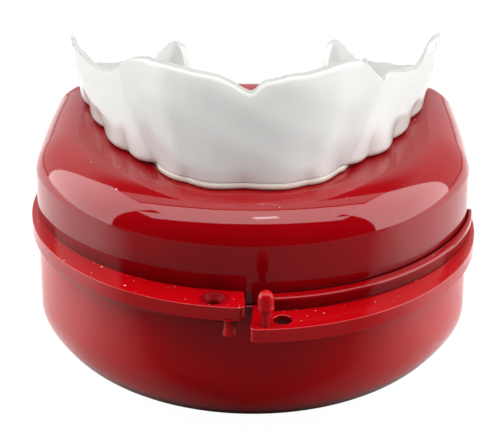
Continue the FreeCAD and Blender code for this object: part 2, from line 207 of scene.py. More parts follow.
def turned(name, profile, centre, steps, rough=0.0, seed=0.0):
    """Solid of revolution about a vertical line; rough is how uneven it is, as a share of its radius."""
    rings = []
    for radius, z in profile:
        ring = []
        for a in circle(steps):
            x, y = radius * math.cos(a), radius * math.sin(a)
            swell = 1 + rough * noise.noise(Vector((x * 1.7 + seed, y * 1.7, z * 1.3)))
            x, y = x * swell, y * swell
            lift = rough * 0.8 * noise.noise(Vector((x * 1.3, y * 1.3 + seed, z))) * (radius > 0.3)
            ring.append((centre[0] + x, centre[1] + y, z + lift))
        rings.append(ring)
    return loft(name, rings, 50.0)


def arc(cx, cy, radius, start, end, steps):
    """Points of an arc, angles in degrees."""
    return [(cx + radius * math.cos(math.radians(a)), cy + radius * math.sin(math.radians(a)))
            for a in np.linspace(start, end, steps)]


# ---------------------------------------------------------------- outline of the case

SIDE_ROUND, FLANK_ROUND, CORNER = 22.0, 220.0, 8.0


def outline_parts():
    """Centre, outward direction and radius of every point round the case's outline."""
    side_x = HALF - SIDE_ROUND
    front_y = (side_x**2 - (FRONT - SIDE_ROUND)**2) / (2 * (FRONT - SIDE_ROUND))
    front_r = front_y + FRONT
    tilt = math.degrees(math.atan2(-front_y, side_x))
    flank_x = HALF - FLANK_ROUND
    corner_y = BACK - CORNER
    corner_x = flank_x + math.sqrt((FLANK_ROUND - CORNER)**2 - corner_y**2)
    lean = math.degrees(math.atan2(corner_y, corner_x - flank_x))
    front = [(0, front_y, front_r, -180 - tilt, tilt, 132)]
    right = [(side_x, 0, SIDE_ROUND, tilt, 0, 12), (flank_x, 0, FLANK_ROUND, 0, lean, 14),
             (corner_x, corner_y, CORNER, lean, 90, 20)]
    back = [(x, corner_y, CORNER, 90, 90, 1) for x in np.linspace(corner_x, -corner_x, 40, endpoint=False)]
    left = [(-cx, cy, r, 180 - end, 180 - start, steps) for cx, cy, r, start, end, steps in right[::-1]]
    points = [((cx, cy), (math.cos(a), math.sin(a)), r)
              for cx, cy, r, start, end, steps in front + right + back + left
              for a in np.linspace(math.radians(start), math.radians(end), steps, endpoint=False)]
    centre, out, radius = zip(*points)
    return np.array(centre), np.array(out), np.array(radius)


CENTRES, OUTWARD, RADII = outline_parts()
FORWARDNESS = smooth((BACK - CORNER - OUTWARD[:, 1] * RADII - CENTRES[:, 1]) / (BACK - CORNER + 16))


def ring_at(inset, z):
    """Ring of the outline, inset by a distance and at a height; either may differ from point to point."""
    flat = CENTRES + (RADII - inset)[:, None] * OUTWARD
    return np.column_stack([flat, np.broadcast_to(z, len(flat))])


def filled(ring):
    """Rings that close a flat end, from its edge to near its middle."""
    middle = np.array([0.0, -3.0])
    rings = []
    for share in (0.985, 0.93, 0.84, 0.72, 0.58, 0.42, 0.26, 0.1):
        flat = ring.copy()
        flat[:, :2] = middle + (ring[:, :2] - middle) * share
        rings.append(flat)
    return rings


def lip(inset, width, z, up, radius=0.28):
    """Rings over the rounded edge of a wall, from its outside to its inside."""
    rings = []
    for a in np.linspace(0, math.pi / 2, 5):
        rings.append(ring_at(inset + radius * (1 - math.cos(a)), z - up * radius * (1 - math.sin(a))))
    for a in np.linspace(math.pi / 2, 0, 5):
        rings.append(ring_at(inset + width - radius * (1 - math.cos(a)),
                             z - up * radius * (1 - math.sin(a))))
    return rings


WALL = 2.0
LIP_START = 0.5
BACK_ROUND, FRONT_ROUND = 6.5, 13.0
LID_ROUND, LID_CREASE_ANGLE = 8.2, math.radians(12.0)


def make_base():
    """Deep half of the case: flat floor, generous rounding under the front, open top."""
    radius = BACK_ROUND + (FRONT_ROUND - BACK_ROUND) * FORWARDNESS
    outer = []
    for a in np.linspace(0, math.pi / 2, 22):
        outer.append(ring_at(radius * (1 - math.sin(a)), radius * (1 - math.cos(a))))
    bottom = filled(outer[0])[::-1]
    for z in (13.6, 16, 19, 22, 24.6, 26.4, BASE_TOP - LIP_START):
        outer.append(ring_at(0.0, z))
    inner_radius = radius - WALL
    inner = [ring_at(WALL, z) for z in (BASE_TOP - LIP_START, 26.4, 22, 18, 14)]
    for a in np.linspace(math.pi / 2, 0, 16):
        inner.append(ring_at(WALL + inner_radius * (1 - math.sin(a)),
                             WALL + inner_radius * (1 - math.cos(a))))
    floor = filled(inner[-1])
    return loft("base_body", bottom + outer + lip(0.0, WALL, BASE_TOP, 1) + inner + floor, 60.0)


def make_lid():
    """Shallow half of the case, with a rounding that starts at a faint crease."""
    crease = TOP - LID_ROUND * (1 - math.sin(LID_CREASE_ANGLE))
    reach = (CORNER - 0.35) / (LID_ROUND * math.cos(LID_CREASE_ANGLE))
    squeeze = np.where(RADII <= CORNER, reach, 1.0)

    def rounding(radius, offset):
        """Rings from the crease to the flat top, on a surface offset inward."""
        rings = []
        for a in np.linspace(LID_CREASE_ANGLE, math.pi / 2, 26):
            inset = offset + radius * (math.cos(LID_CREASE_ANGLE) - math.cos(a))
            rings.append(ring_at(np.minimum(inset * squeeze, CORNER - 0.3),
                                 TOP - offset - radius * (1 - math.sin(a))))
        return rings

    heights = (LID_BOTTOM + LIP_START, 29.5, 31.5, 34, 36.2, crease - 0.7, crease - 0.22)
    outer = [ring_at(0.0, z) for z in heights] + rounding(LID_ROUND, 0.0)
    top = filled(outer[-1])
    inner_round = rounding(LID_ROUND - WALL * 0.7, WALL)
    ceiling = filled(inner_round[-1])[::-1]
    inner_wall = [ring_at(WALL, z) for z in (36, 33, 30, LID_BOTTOM + LIP_START)]
    inner = ceiling + inner_round[::-1] + inner_wall
    rim = lip(0.0, WALL, LID_BOTTOM, -1)[::-1]
    return loft("lid_body", inner + rim + outer + top, 60.0)


# ---------------------------------------------------------------- thumb flanges and rims

HALVES = ((1, "base"), (-1, "lid"))
FLANGE_ROOT, FLANGE_CORNER, FLANGE_EDGE = 0.9, 1.3, 0.2
EYELET_RADIUS, DISH_BORE = {"base": 1.6, "lid": 2.05}, 1.2
RIM_WIDTH, RIM_SWELL, RIM_SUNK, RIM_EDGE = 0.85, 1.45, 0.2, 0.5
RIM_START, RIM_END = 4.6, -0.2


def mirrored(points, side):
    """Plan outline as it is for side 1, or mirrored to the left for side -1."""
    return points if side > 0 else [(-x, y) for x, y in points][::-1]


def crescent(side, centre_y, radius, near, tail, corner):
    """Plan of a half flange: its outer arc, rounded end at the middle, and an edge inside the wall."""
    inside = ring_at(FLANGE_ROOT, 0.0)[:, :2]
    inside = inside[(inside[:, 0] > near) & (inside[:, 1] < tail)]
    inside = inside[np.argsort(inside[:, 1] + inside[:, 0] * 0.5)]
    start = math.degrees(math.asin((near + corner) / (radius - corner)))
    ex, ey = near + corner, centre_y - math.cos(math.radians(start)) * (radius - corner)
    turn = arc(ex, ey, corner, 180, 270 + start, 9)
    end = math.degrees(math.asin(min(1.0, (tail - centre_y) / radius)))
    edge = [p for p in arc(0, centre_y, radius, -90 + start, end, 150)[1:] if p[1] < tail]
    return mirrored(turn + edge + [tuple(p) for p in inside[::-1]], side)


def flange_circle(node):
    """Centre and radius of a flange's outer arc, through its front and widest points."""
    low, high = box_mm(node)
    reach, front = max(abs(low[0]), high[0]), -low[1]
    radius = (reach**2 + front**2) / (2 * front)
    return radius - front, radius


def countersink(name, centre, top, bore, mouth):
    """Shallow dish that lines an eyelet, inside a faint raised ring."""
    profile = [(bore, top - 1.7), (bore, top - 1.0), (bore + 0.25, top - 0.8), (mouth - 0.25, top - 0.45),
               (mouth + 0.02, top - 0.2), (mouth + 0.1, top - 0.02), (mouth + 0.3, top + 0.07),
               (mouth + 0.55, top + 0.05), (mouth + 0.8, top - 0.03), (mouth + 0.8, top - 0.6),
               (mouth + 0.4, top - 1.7)]
    count, total = 64, len(profile)
    verts = [(centre[0] + r * math.cos(a), centre[1] + r * math.sin(a), z) for r, z in profile
             for a in circle(count)]
    faces = []
    for r in range(total):
        for i in range(count):
            j, k = (i + 1) % count, (r + 1) % total
            faces.append((r * count + i, r * count + j, k * count + j, k * count + i))
    return make_object(name, verts, faces, 60.0)


def rim_plan(side):
    """Plan of a lapping rim: it follows the wall, swells towards the front and starts with a round end."""
    inner = ring_at(-0.02, 0.0)[:, :2]
    outer = ring_at(-RIM_WIDTH, 0.0)[:, :2]
    outer[:, 1] -= RIM_SWELL * smooth(-outer[:, 1] / 14.0)
    keep = (inner[:, 0] > RIM_START) & (inner[:, 1] < RIM_END)
    inner, outer = inner[keep], outer[keep]
    across = outer[0] - inner[0]
    middle = (inner[0] + outer[0]) / 2
    direction = math.degrees(math.atan2(-across[1], -across[0]))
    cap = arc(middle[0], middle[1], np.linalg.norm(across) / 2, direction, direction + 180, 9)[1:-1]
    return mirrored([tuple(p) for p in outer] + [tuple(p) for p in inner[::-1]] + cap, side)


# ---------------------------------------------------------------- mouthguard shape

# The arch is followed by u, from -1 at its left end to 1 at its right end. Grooves between teeth are
# distances from the middle. Wall heights are (u, height) points above the bottom of the guard.
ARCH_X, ARCH_FRONT, ARCH_DEPTH, ARCH_POWER = 34.0, 25.0, 47.0, 3.1
PANEL_THICK, PANEL_SPAN, PANEL_FADE = 0.85, 0.55, 0.42
TEETH_LEFT = (11.0, 18.2, 22.9, 27.4, 30.5, 33.0, 36.0)
TEETH_RIGHT = (9.9, 16.8, 22.0, 25.9, 29.2, 32.0, 36.0)
MIDLINE = -1.2
OUTER = [(-1, 10.3), (-0.975, 10.45), (-0.95, 10.8), (-0.9, 11.8), (-0.85, 12.1), (-0.8, 12.9),
         (-0.75, 14.2), (-0.7, 16.2), (-0.67, 17.8), (-0.64, 19.2), (-0.6, 20.45), (-0.55, 21.35),
         (-0.5, 21.6), (-0.4, 21.6), (-0.3, 21.2), (-0.2, 20.85), (-0.15, 20.5), (-0.1, 19.8),
         (-0.05, 18.8), (-0.015, 18.15), (0.013, 17.95), (0.035, 18.5), (0.055, 19.2), (0.08, 19.75),
         (0.11, 20.0), (0.15, 20.25), (0.2, 20.7), (0.3, 20.8), (0.4, 21.3), (0.46, 21.6), (0.52, 21.5),
         (0.57, 20.7), (0.6, 19.4), (0.635, 17.4), (0.668, 15.6), (0.69, 14.7), (0.705, 14.5),
         (0.725, 14.8), (0.765, 14.1), (0.8, 12.9), (0.83, 12.2), (0.86, 11.5), (0.885, 11.5),
         (0.91, 12.3), (0.93, 13.3), (0.95, 13.5), (0.97, 12.7), (0.985, 11.7), (1, 10.5)]
INNER_LEFT = [(0, 8.4), (0.2, 8.6), (0.5, 9.0), (0.62, 10.2), (0.648, 13.0), (0.665, 17.2),
              (0.68, 18.1), (0.71, 18.4), (0.75, 17.9), (0.79, 16.5), (0.83, 14.4), (0.87, 12.0),
              (0.9, 10.0), (0.95, 7.0), (1, 5.0)]
INNER_RIGHT = [(0, 8.4), (0.2, 8.6), (0.5, 9.0), (0.65, 10.0), (0.685, 12.6), (0.705, 16.4),
               (0.725, 18.0), (0.745, 18.3), (0.775, 17.7), (0.81, 16.0), (0.85, 13.2), (0.88, 11.4),
               (0.92, 8.4), (0.96, 6.2), (1, 5.0)]


def arch_frame(u):
    """Outer base point of the arch at u, its inward normal, and its width."""
    x, y = ARCH_X * u, -ARCH_FRONT + ARCH_DEPTH * abs(u) ** ARCH_POWER
    slope = ARCH_DEPTH * ARCH_POWER * abs(u) ** (ARCH_POWER - 1) * math.copysign(1, u)
    inward = np.array([-slope, ARCH_X]) / math.hypot(slope, ARCH_X)
    molars = (1.2 if u < 0 else 0.6) * smooth((abs(u) - 0.42) / 0.25)
    return np.array([x, y]), inward, 10.5 + 3 * abs(u) + molars


def stations(count):
    """Values of u evenly spaced along the arch, and the arch's length."""
    fine = np.linspace(-1, 1, 4001)
    xs, ys = ARCH_X * fine, ARCH_DEPTH * np.abs(fine) ** ARCH_POWER
    run = np.concatenate([[0], np.cumsum(np.hypot(np.diff(xs), np.diff(ys)))])
    return np.interp(np.linspace(0, run[-1], count), run, fine), run[-1]


def crown(u, power):
    """0 in the groove between two teeth, 1 at the middle of a tooth."""
    x = u * ARCH_X
    marks = [-m for m in reversed(TEETH_LEFT)] + [MIDLINE] + list(TEETH_RIGHT)
    for a, b in zip(marks, marks[1:]):
        if a <= x < b:
            return math.sin(math.pi * (x - a) / (b - a)) ** power
    return 1.0


def outer_height(u):
    """Height of the outer wall, with its notch at the middle."""
    return float(through(u, OUTER))


def inner_height(u):
    """Height of the inner wall, low at the front and raised into a lobe on each side."""
    return float(through(abs(u), INNER_LEFT if u < 0 else INNER_RIGHT))


def outer_offset(u, z):
    """How far the outer face lies inward of the arch at a height above the lid.

    The front leans back and bellies out a little and its corners are drawn in below. The sides stand out
    below and flare above towards their ends. A groove rises between each two teeth.
    """
    a = abs(u)
    lean = 1.0 * (1 - smooth((a - 0.3) / 0.3)) * max(0.0, z / 21.0) ** 2.2
    flare = -1.75 * smooth((a - 0.72) / 0.24) * max(0.0, z / 12.0) ** 1.1
    flare -= 0.7 * smooth((a - 0.9) / 0.1) * max(0.0, z / 12.0) ** 1.6 * (1 if u > 0 else 0.3)
    side = smooth((a - 0.53) / 0.2)
    reach = 7.5 - 2.4 * smooth((a - 0.7) / 0.1)
    sharp, soft = 1 - crown(u, 0.72), 1 - crown(u, 1.3)
    groove = side * 1.5 * (1 - smooth(z / reach)) * sharp
    groove += (1 - side) * (0.5 * (1 - smooth(z / 4.2)) + 0.16 * (1 - smooth((z - 3) / 14))) * soft
    shift = -0.75 * side * (1 - smooth((z - 5) / 9)) * (1 - smooth((a - 0.93) / 0.07))
    belly = -0.35 * (1 - side) * math.sin(math.pi * min(1.0, max(0.0, z / 22.0)))
    ripple = 0.07 * math.sin(9.0 * u + 0.33 * z) * math.sin(0.42 * z + 5.0 * u + 1.0) * smooth(z / 5)
    corner = 1.25 * smooth((a - 0.16) / 0.3) * (1 - smooth((a - 0.56) / 0.16)) * (1 - smooth(z / 17))
    return lean + flare + groove + shift + belly + ripple + corner


def tray_section(u, to_end):
    """Closed (s, z) loop across the trough, s inward from the arch; its walls drop near the ends."""
    width = arch_frame(u)[2]
    side = smooth((abs(u) - 0.52) / 0.1)
    bottom, floor = 1.0 - 0.7 * side, 4.0
    ease = math.sqrt(1 - (1 - min(1.0, to_end / 3.0)) ** 2)
    tall = 1 - 0.12 * (1 - math.sqrt(1 - (1 - min(1.0, to_end / 1.6)) ** 2))
    high = floor + 0.4 + (outer_height(u) - floor - 0.4) * tall
    low = floor + 0.4 + (inner_height(u) - floor - 0.4) * ease
    outer_wall, inner_wall = 2.1, 2.0
    tip, inner_tip = min(0.6, (high - bottom) * 0.3), min(0.5, (low - bottom) * 0.3)
    loop = []

    def outer(z):
        """The outer face, tucked in just above the sole."""
        tuck = (0.4 + 0.15 * side) * max(0.0, 1 - (z - bottom) / 1.1) ** 2
        return outer_offset(u, z) + tuck

    for t in np.linspace(0, 1, 30) ** 1.35:
        z = bottom + (high - tip - bottom) * t
        loop.append((outer(z), z))
    crest = outer(high - tip)
    for a in np.linspace(0.25, math.pi - 0.25, 7):
        loop.append((crest + tip * (1 - math.cos(a)), high - tip + tip * math.sin(a)))
    fillet = min(1.6, (high - floor) * 0.35)
    for t in np.linspace(0, 1, 12):
        z = high - tip + (floor + fillet - high + tip) * t
        loop.append((outer(z) + 2 * tip + (outer_wall - 2 * tip) * smooth(t), z))
    s0, s1 = outer(floor + fillet) + outer_wall, width - inner_wall - 0.3
    for a in np.linspace(0.3, math.pi / 2, 5):
        loop.append((s0 + 1.5 * (1 - math.cos(a)), floor + fillet * (1 - math.sin(a))))
    for t in np.linspace(0, 1, 9)[1:-1]:
        loop.append((s0 + 1.5 + (s1 - s0 - 3.0) * t, floor + 0.16 * math.sin(t * math.pi * 3)))
    fillet = min(1.6, (low - floor) * 0.35)
    for a in np.linspace(math.pi / 2, 0.3, 5):
        loop.append((s1 - 1.5 * (1 - math.cos(a)), floor + fillet * (1 - math.sin(a))))
    face = width - 0.15
    crown_s = face - 0.6
    for t in np.linspace(0, 1, 12):
        z = floor + fillet + (low - inner_tip - floor - fillet) * t
        loop.append((s1 + (crown_s - 2 * inner_tip - s1) * smooth(t), z))
    for a in np.linspace(math.pi - 0.25, 0.25, 7):
        loop.append((crown_s - inner_tip + inner_tip * math.cos(a),
                     low - inner_tip + inner_tip * math.sin(a)))
    for t in np.linspace(0, 1, 14):
        z = low - inner_tip + (3.4 - low + inner_tip) * t
        loop.append((face - 0.6 * (1 - smooth(t)), z))
    for a in np.linspace(0.2, math.pi / 2, 6):
        loop.append((face - 2.6 * (1 - math.cos(a)), 3.4 - (3.4 - bottom) * math.sin(a)))
    for t in np.linspace(0, 1, 8)[1:-1]:
        loop.append((face - 2.6 + (outer(bottom) - face + 2.6) * t, bottom))
    return loop


def drawn_in(loop, amount):
    """The (s, z) loop moved inward by an amount, for a rounded end."""
    p = np.array(loop)
    along = np.roll(p, -1, axis=0) - np.roll(p, 1, axis=0)
    along /= np.maximum(np.hypot(along[:, 0], along[:, 1]), 1e-6)[:, None]
    turn = np.sum(p[:, 0] * np.roll(p[:, 1], -1) - np.roll(p[:, 0], -1) * p[:, 1])
    inward = np.stack([-along[:, 1], along[:, 0]], axis=1) * math.copysign(1.0, turn)
    return p + inward * amount


def sweep(name, count, section, radius):
    """Closed solid swept along the arch, its ends rounded by a radius; section gives (s, z) loops."""
    us, length = stations(count)
    near = radius * (1 - np.cos(np.linspace(0, math.pi / 2, 6)))[:-1]
    runs = np.concatenate([near, length * np.linspace(0, 1, count)[2:-2], length - near[::-1]])
    rings = []
    for run in runs:
        u = float(np.interp(run, length * np.linspace(0, 1, count), us))
        to_end = min(run, length - run)
        base, inward, _ = arch_frame(u)
        loop = section(u, to_end)
        if to_end < radius:
            loop = drawn_in(loop, radius - math.sqrt(radius**2 - (radius - to_end) ** 2))
        rings.append([(*(base + inward * s), REST + z) for s, z in loop])
    return loft(name, rings, 75.0, whole=True)


def panel_edge(z):
    """Half span, in u, of the opaque front layer at a height above the lid."""
    return PANEL_SPAN + 0.05 * smooth((z - 2) / 6.0) + 0.08 * smooth((z - 7) / 8.0)


def panel_point(v, t):
    """A point across and up the front layer: its place on the arch and its height."""
    u = v * 0.6
    for _ in range(3):
        high = outer_height(u)
        foot = 1.08 + 0.3 * (1 - crown(u, 0.8)) + 0.5 * smooth((abs(v) - 0.84) / 0.16)
        z = foot + (high - 0.1 - foot) * t
        u = v * panel_edge(z)
    return u, z, high - z


def make_panel():
    """Opaque layer over the front teeth, a little proud of the trough and thinning out at its sides."""
    across, up = 190, 52
    front, back = [], []
    for j in range(up + 1):
        row_front, row_back = [], []
        for i in range(across + 1):
            v, t = i / across * 2 - 1, (j / up) ** 1.2
            u, z, below = panel_point(v, t)
            base, inward, _ = arch_frame(u)
            edge = smooth((1 - abs(v)) / PANEL_FADE)
            foot = 1 - max(0.0, 1 - (z - 1.05) / 0.5) ** 2.2
            ledge = 0.84 + 0.16 * smooth((below - 0.3) / 2.4)
            crest = 1 - max(0.0, 1 - below / 0.45) ** 2.2
            thick = PANEL_THICK * edge * (0.84 + 0.16 * foot) * ledge * (0.1 + 0.9 * crest)
            s = outer_offset(u, z)
            row_front.append((*(base + inward * (s - thick)), REST + z))
            row_back.append((*(base + inward * (s + 0.5)), REST + z))
        front.append(row_front)
        back.append(row_back)
    verts = [p for row in front for p in row] + [p for row in back for p in row]
    n, half, faces = across + 1, (across + 1) * (up + 1), []
    for j in range(up):
        for i in range(across):
            a = j * n + i
            faces.append((a, a + 1, a + n + 1, a + n))
            faces.append((half + a, half + a + n, half + a + n + 1, half + a + 1))
    for i in range(across):
        a = up * n + i
        faces.append((i, half + i, half + i + 1, i + 1))
        faces.append((a, a + 1, half + a + 1, half + a))
    for j in range(up):
        a, b = j * n, j * n + across
        faces.append((a, a + n, half + a + n, half + a))
        faces.append((b, half + b, half + b + n, b + n))
    return make_object("guard_panel", verts, faces, 75.0)


def pad_section(u, _to_end):
    """Closed (s, z) loop across the bite pad, with a rounded rim that shows under the front layer."""
    width = arch_frame(u)[2]
    layer = PANEL_THICK * smooth((1 - abs(u) / PANEL_SPAN) / PANEL_FADE)
    edge = outer_offset(u, 0.8) - 0.2 - layer + 1.8 * smooth((abs(u) - 0.5) / 0.1)
    inner, thick, bend, loop = width - 2.9, 1.36, 0.5, []
    for a in np.linspace(-math.pi / 2, math.pi / 2, 11):
        loop.append((edge + bend * (1 - math.cos(a)), thick / 2 + thick / 2 * math.sin(a)))
    for t in np.linspace(0, 1, 8)[1:-1]:
        loop.append((edge + bend + (inner - 2 * bend - edge) * t, thick))
    for a in np.linspace(math.pi / 2, -math.pi / 2, 9):
        loop.append((inner - bend + bend * math.cos(a), thick / 2 + thick / 2 * math.sin(a)))
    for t in np.linspace(0, 1, 8)[1:-1]:
        loop.append((inner - bend + (edge - inner + 2 * bend) * t, 0.0))
    return loop


# ---------------------------------------------------------------- materials


class Nodes:
    """Short way to build a material's node tree."""

    def __init__(self, name):
        self.material = bpy.data.materials.new(name)
        self.material.use_nodes = True
        self.tree = self.material.node_tree
        self.shader = self.tree.nodes["Principled BSDF"]
        self.place = self.add("ShaderNodeTexCoord").outputs["Object"]

    def add(self, kind, **settings):
        """A new node with the given settings."""
        node = self.tree.nodes.new(kind)
        for key, value in settings.items():
            setattr(node, key, value)
        return node

    def link(self, source, target):
        self.tree.links.new(source, target)

    def noise(self, scale, detail=4.0, roughness=0.55, distortion=0.0, stretch=None):
        """Noise over the object; stretch is a (scale, rotation) pair."""
        node = self.add("ShaderNodeTexNoise")
        node.inputs["Scale"].default_value = scale
        node.inputs["Detail"].default_value = detail
        node.inputs["Roughness"].default_value = roughness
        node.inputs["Distortion"].default_value = distortion
        self.link(self.stretched(stretch) if stretch else self.place, node.inputs["Vector"])
        return node.outputs["Fac"]

    def stretched(self, stretch):
        """The object's coordinates, scaled and turned."""
        scale, turn = stretch
        node = self.add("ShaderNodeMapping")
        node.inputs["Scale"].default_value = scale
        node.inputs["Rotation"].default_value = turn
        self.link(self.place, node.inputs["Vector"])
        return node.outputs["Vector"]

    def span(self, source, low, high, to_low=0.0, to_high=1.0):
        """A value mapped from one range to another and kept inside it."""
        node = self.add("ShaderNodeMapRange")
        for key, value in (("From Min", low), ("From Max", high), ("To Min", to_low),
                           ("To Max", to_high)):
            node.inputs[key].default_value = value
        self.link(source, node.inputs["Value"])
        return node.outputs["Result"]

    def math(self, operation, a, b=0.0):
        """Arithmetic on sockets or plain numbers."""
        node = self.add("ShaderNodeMath", operation=operation)
        for socket, value in zip(node.inputs, (a, b)):
            if isinstance(value, (int, float)):
                socket.default_value = value
            else:
                self.link(value, socket)
        return node.outputs[0]

    def normal(self):
        """The object's own normal, split into X, Y and Z."""
        parts = self.add("ShaderNodeSeparateXYZ")
        self.link(self.place.node.outputs["Normal"], parts.inputs[0])
        return parts.outputs

    def mix(self, factor, a, b):
        """Colour between two colours, each a socket or a plain tuple."""
        node = self.add("ShaderNodeMix", data_type="RGBA")
        self.link(factor, node.inputs["Factor"])
        for key, value in ((6, a), (7, b)):
            if isinstance(value, tuple):
                node.inputs[key].default_value = (*value, 1.0)
            else:
                self.link(value, node.inputs[key])
        return node.outputs[2]

    def specks(self, scale, size, share):
        """Small round marks scattered over the surface."""
        node = self.add("ShaderNodeTexVoronoi")
        node.inputs["Scale"].default_value = scale
        self.link(self.place, node.inputs["Vector"])
        near = self.span(node.outputs["Distance"], size * 0.55, size, 1.0, 0.0)
        parts = self.add("ShaderNodeSeparateColor")
        self.link(node.outputs["Color"], parts.inputs["Color"])
        chosen = self.math("GREATER_THAN", parts.outputs["Red"], 1 - share)
        return self.math("MULTIPLY", near, chosen)

    def scratches(self, scale, turn):
        """Fine hairlines in one direction."""
        lines = self.noise(scale, 1.0, 0.4, 0.0, ((0.03, 1.0, 1.0), turn))
        centred = self.math("ABSOLUTE", self.math("SUBTRACT", lines, 0.5))
        line = self.span(centred, 0.0, 0.012, 1.0, 0.0)
        patches = self.span(self.noise(scale * 0.12, 2.0), 0.58, 0.66, 0.0, 0.6)
        return self.math("MULTIPLY", line, patches)

    def bump(self, height, distance, strength=1.0, under=None):
        """Normal of a surface raised by height, over another bump if there is one."""
        node = self.add("ShaderNodeBump")
        node.inputs["Distance"].default_value = distance
        node.inputs["Strength"].default_value = strength
        self.link(height, node.inputs["Height"])
        if under is not None:
            self.link(under, node.inputs["Normal"])
        return node.outputs["Normal"]


def red_plastic(name, gloss, wave, dust, shade, sheen=0.5):
    """Moulded plastic: faint orange peel, hairlines, dust on upward faces and painted shade in hollows
    below them.

    gloss is the middle of its roughness, wave the height of the orange peel in metres, dust the share of
    full dust, shade how light the red is, which each copy sets to paint in light and shade, and sheen the
    specular level.
    """
    n = Nodes(name)
    s = n.shader.inputs
    cloud = n.noise(55.0, 3.0)
    colour = n.mix(n.span(cloud, 0.3, 0.7), (0.205 * shade, 0.0005, 0.0022),
                   (0.235 * shade, 0.0009, 0.0036))
    specks = n.math("MAXIMUM", n.specks(430.0, 0.1, 0.6 * dust), n.specks(950.0, 0.12, 0.42 * dust))
    facing = n.normal()
    upward = n.span(facing["Z"], 0.55, 0.9)
    clumps = n.span(n.noise(120.0, 2.0), 0.34, 0.52)
    dusty = n.math("MULTIPLY", n.math("MULTIPLY", specks, upward), clumps)
    hair = n.math("MAXIMUM", n.scratches(240.0, (0.2, 0.1, 0.5)), n.scratches(300.0, (0.9, 0.4, 2.1)))
    colour = n.mix(n.math("MULTIPLY", dusty, 0.75), colour, (0.92, 0.58, 0.5))
    # Painted shade: ambient occlusion darkens the red in hollows, on faces that do not look up.
    nook = n.add("ShaderNodeAmbientOcclusion", samples=6)
    nook.inputs["Distance"].default_value = 0.007
    painted_shade = n.span(nook.outputs["AO"], 0.35, 0.95, 1.0, 0.0)
    painted_shade = n.math("MULTIPLY", painted_shade, n.span(facing["Z"], 0.1, 0.5, 1.0, 0.0))
    colour = n.mix(painted_shade, colour, (0.05, 0.0004, 0.0008))
    n.link(colour, s["Base Color"])
    rough = n.span(n.noise(38.0, 5.0, 0.6), 0.35, 0.7, gloss * 0.8, gloss * 1.35)
    rough = n.math("ADD", rough, n.math("MULTIPLY", hair, 0.12))
    rough = n.math("ADD", rough, n.math("MULTIPLY", dusty, 0.4))
    n.link(rough, s["Roughness"])
    s["IOR"].default_value = 1.49
    s["Specular IOR Level"].default_value = sheen
    soft = n.bump(n.noise(150.0, 2.0, 0.45), wave)
    fine = n.bump(n.noise(2600.0, 2.0), 0.0000012, 1.0, soft)
    n.link(n.bump(n.math("SUBTRACT", dusty, n.math("MULTIPLY", hair, 0.25)), 0.00002, 0.35, fine),
           s["Normal"])
    return n.material


def guard_material(name, facing, painted_side_shade, gloss):
    """Moulded EVA: milky, softly glossy, with faint flow marks and fine handling scratches.

    Walls that face the front get the light colour; walls that turn away from it get a greyer painted
    shade.
    """
    n = Nodes(name)
    s = n.shader.inputs
    # Painted shade: the colour darkens as the wall's normal turns away from the front.
    front_facing_share = n.span(n.normal()["Y"], -0.97, -0.25, 1.0, 0.0)
    colour = n.mix(front_facing_share, painted_side_shade, facing)
    cloud = n.span(n.noise(70.0, 4.0, 0.6, 0.6), 0.3, 0.72, 0.0, 0.09)
    colour = n.mix(cloud, colour, (0.2, 0.2, 0.19))
    hair = n.scratches(260.0, (0.5, 0.2, 1.1))
    colour = n.mix(n.math("MULTIPLY", n.specks(520.0, 0.05, 0.06), 0.3), colour, (0.3, 0.29, 0.26))
    n.link(colour, s["Base Color"])
    rough = n.span(n.noise(90.0, 5.0, 0.6), 0.3, 0.72, gloss * 0.75, gloss * 1.5)
    n.link(n.math("ADD", rough, n.math("MULTIPLY", hair, 0.14)), s["Roughness"])
    s["IOR"].default_value = 1.48
    s["Subsurface Weight"].default_value = 0.4
    s["Subsurface Radius"].default_value = (1.0, 0.92, 0.82)
    s["Subsurface Scale"].default_value = 0.0016
    flow = n.bump(n.noise(210.0, 3.0, 0.5, 0.4), 0.00005, 0.6)
    n.link(n.bump(n.noise(1800.0, 3.0), 0.000004, 0.8, flow), s["Normal"])
    return n.material


def steel_material():
    """Drawn wire: fine lines round the pin and a little tarnish."""
    n = Nodes("steel_drawn")
    s = n.shader.inputs
    tarnish = n.noise(420.0, 5.0, 0.65)
    n.link(n.mix(n.span(tarnish, 0.35, 0.75), (0.6, 0.6, 0.61), (0.4, 0.38, 0.35)), s["Base Color"])
    s["Metallic"].default_value = 1.0
    lines = n.noise(900.0, 3.0, 0.6, 0.0, ((1.0, 0.08, 0.08), (0, 0, 0)))
    n.link(n.span(lines, 0.3, 0.7, 0.2, 0.42), s["Roughness"])
    n.link(n.bump(lines, 0.000006, 0.7), s["Normal"])
    return n.material


# The case is one red plastic: the shade of each copy paints in light and shade, lighter on the base wall,
# flanges and small parts than on the lid, darker in the eyelet dish.
POLISHED = red_plastic("red_polished", gloss=0.045, wave=0.000006, dust=0.12, shade=1.2)
SATIN = red_plastic("red_satin", gloss=0.085, wave=0.00001, dust=0.1, shade=1.8)
FLANGE = red_plastic("red_flange", gloss=0.16, wave=0.000012, dust=1.0, shade=1.65, sheen=0.45)
RIM = red_plastic("red_rim", gloss=0.07, wave=0.00001, dust=0.6, shade=1.25, sheen=0.4)
DISH = red_plastic("red_dish", gloss=0.4, wave=0.00002, dust=0.5, shade=0.95, sheen=0.06)
SMALL = red_plastic("red_small_parts", gloss=0.22, wave=0.00002, dust=0.5, shade=1.85, sheen=0.24)
